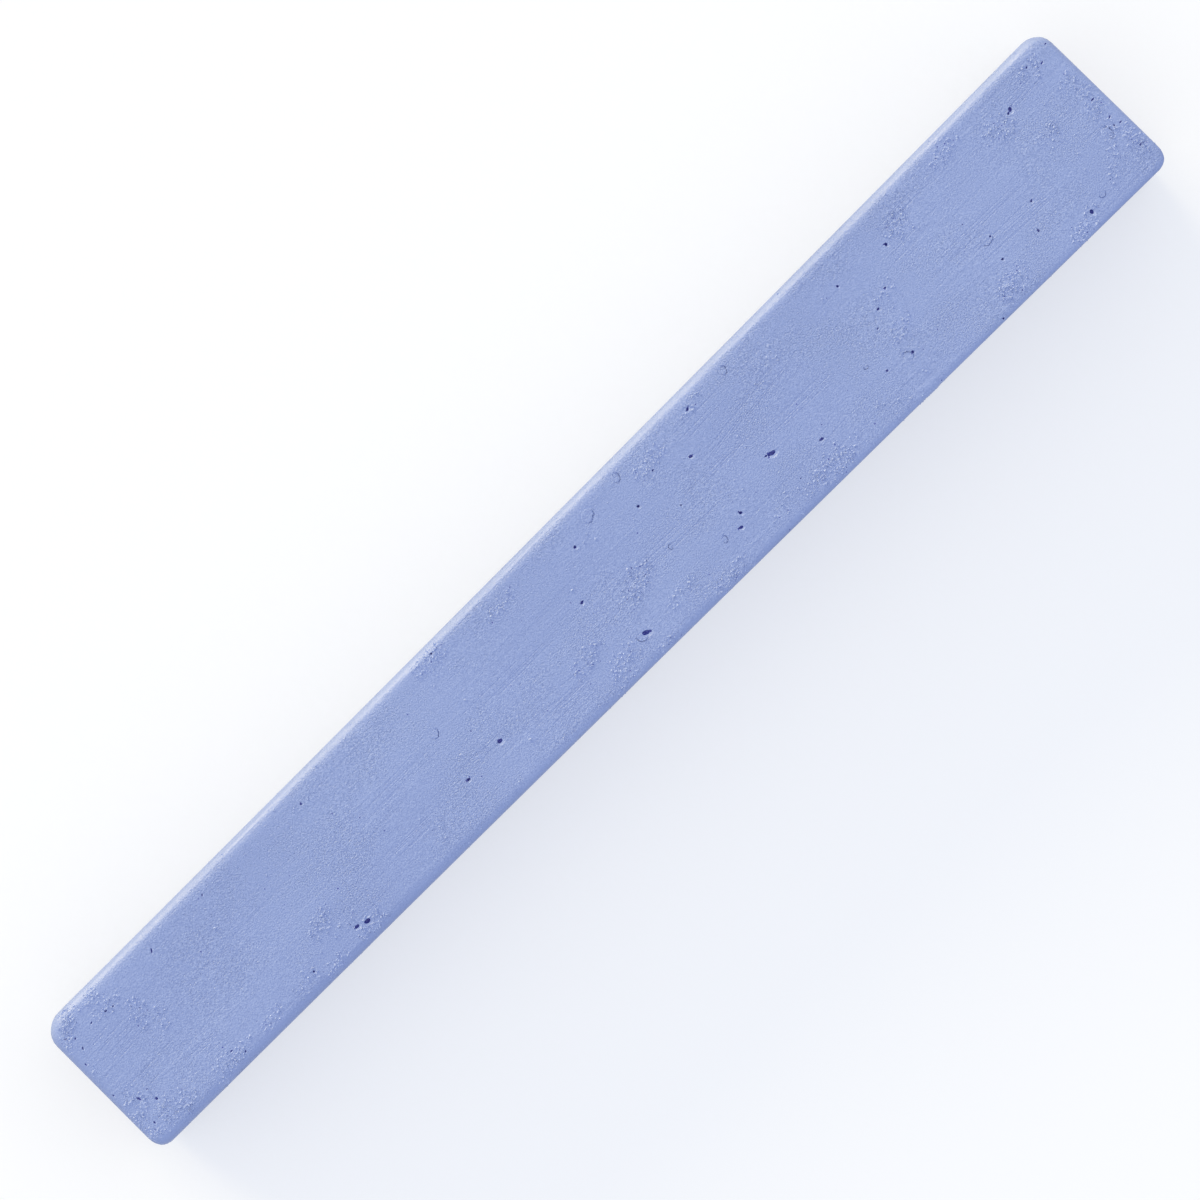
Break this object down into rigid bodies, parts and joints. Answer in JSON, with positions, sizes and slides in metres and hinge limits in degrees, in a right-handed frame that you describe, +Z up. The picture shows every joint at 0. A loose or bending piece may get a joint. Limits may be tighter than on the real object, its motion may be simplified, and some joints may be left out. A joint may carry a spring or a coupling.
{
  "type": "oil pastel stick",
  "caption": "Unwrapped oil pastel: a cast square-section stick of waxy pigment with soft edges, a slight taper and small open air bubbles.",
  "frame": {"origin": "middle of the stick's length and width, on the flat underside that it rests on", "axes": "+X along the stick towards its thick end, +Y across it, +Z up from the underside"},
  "size_m": [0.07, 0.0092, 0.0092],
  "materials": {
    "pastel": "matte waxy pigment, pale violet blue, with fine drag lines and open air bubbles"
  },
  "bodies": {
    "root": {"pastel_stick": "pastel"}
  },
  "joints": []
}
